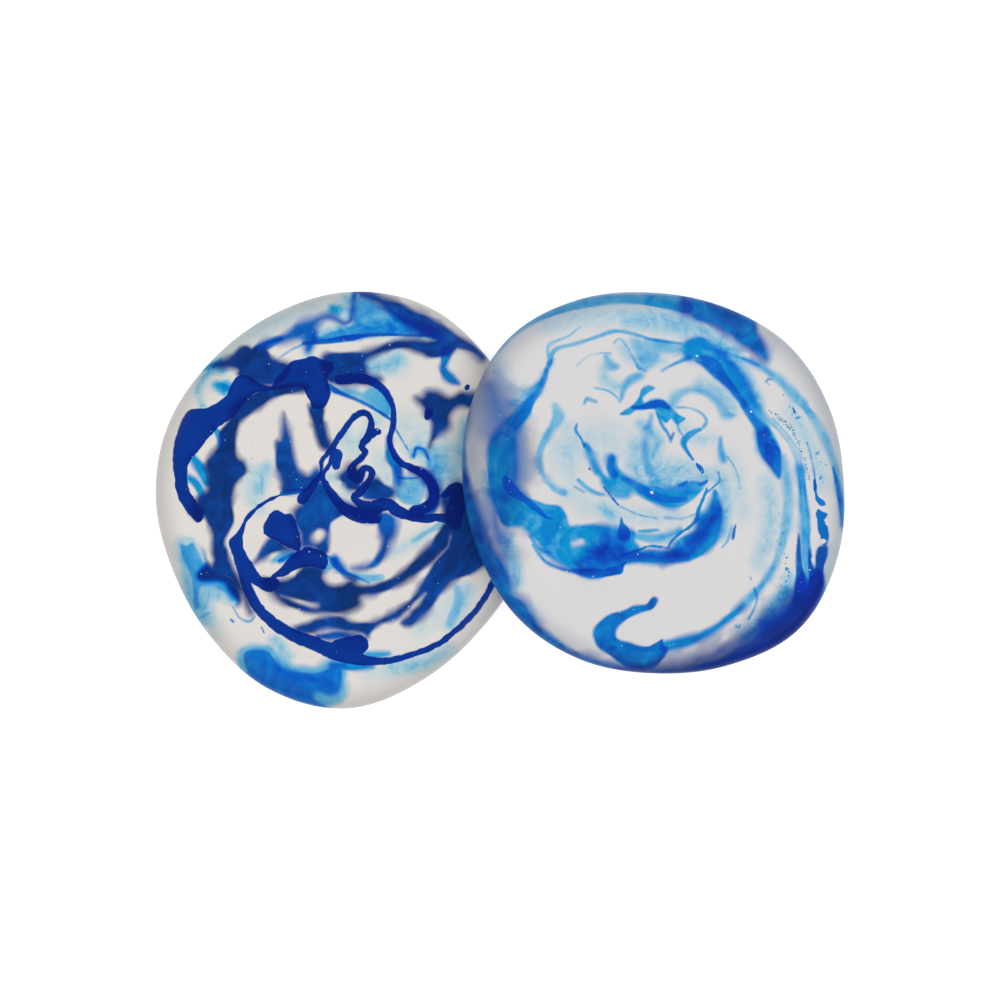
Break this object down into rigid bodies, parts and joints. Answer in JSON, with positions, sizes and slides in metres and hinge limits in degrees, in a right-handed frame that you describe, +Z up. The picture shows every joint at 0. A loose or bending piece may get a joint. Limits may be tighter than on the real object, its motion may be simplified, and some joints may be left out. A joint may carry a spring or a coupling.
{
  "type": "resin pebble coaster pair",
  "caption": "Two flat pebble-shaped coasters of milky resin with blue resin swirled in, the right one leaning on the edge of the left one.",
  "frame": {"origin": "on the table, under the middle of the pair as it lies", "axes": "+Z up, +X from the left coaster to the right one, which is the longest way"},
  "size_m": [0.1896, 0.1148, 0.0205],
  "materials": {
    "milky_resin": "milky translucent cast resin with a satin surface",
    "blue_resin": "the same resin tinted deep blue, satin"
  },
  "bodies": {
    "lower": {"lower_coaster": "milky_resin", "lower_arc_pour": "blue_resin", "lower_rim_pour": "blue_resin", "lower_wiggle_pour": "blue_resin"},
    "upper": {"upper_coaster": "milky_resin", "upper_belly_pour": "blue_resin", "upper_hook_pour": "blue_resin", "upper_side_pour": "blue_resin"}
  },
  "joints": [
    {"name": "upper_lift", "type": "slide", "parent": "lower", "child": "upper", "axis": [0, 0, 1], "range_m": [0, 0.06]}
  ]
}
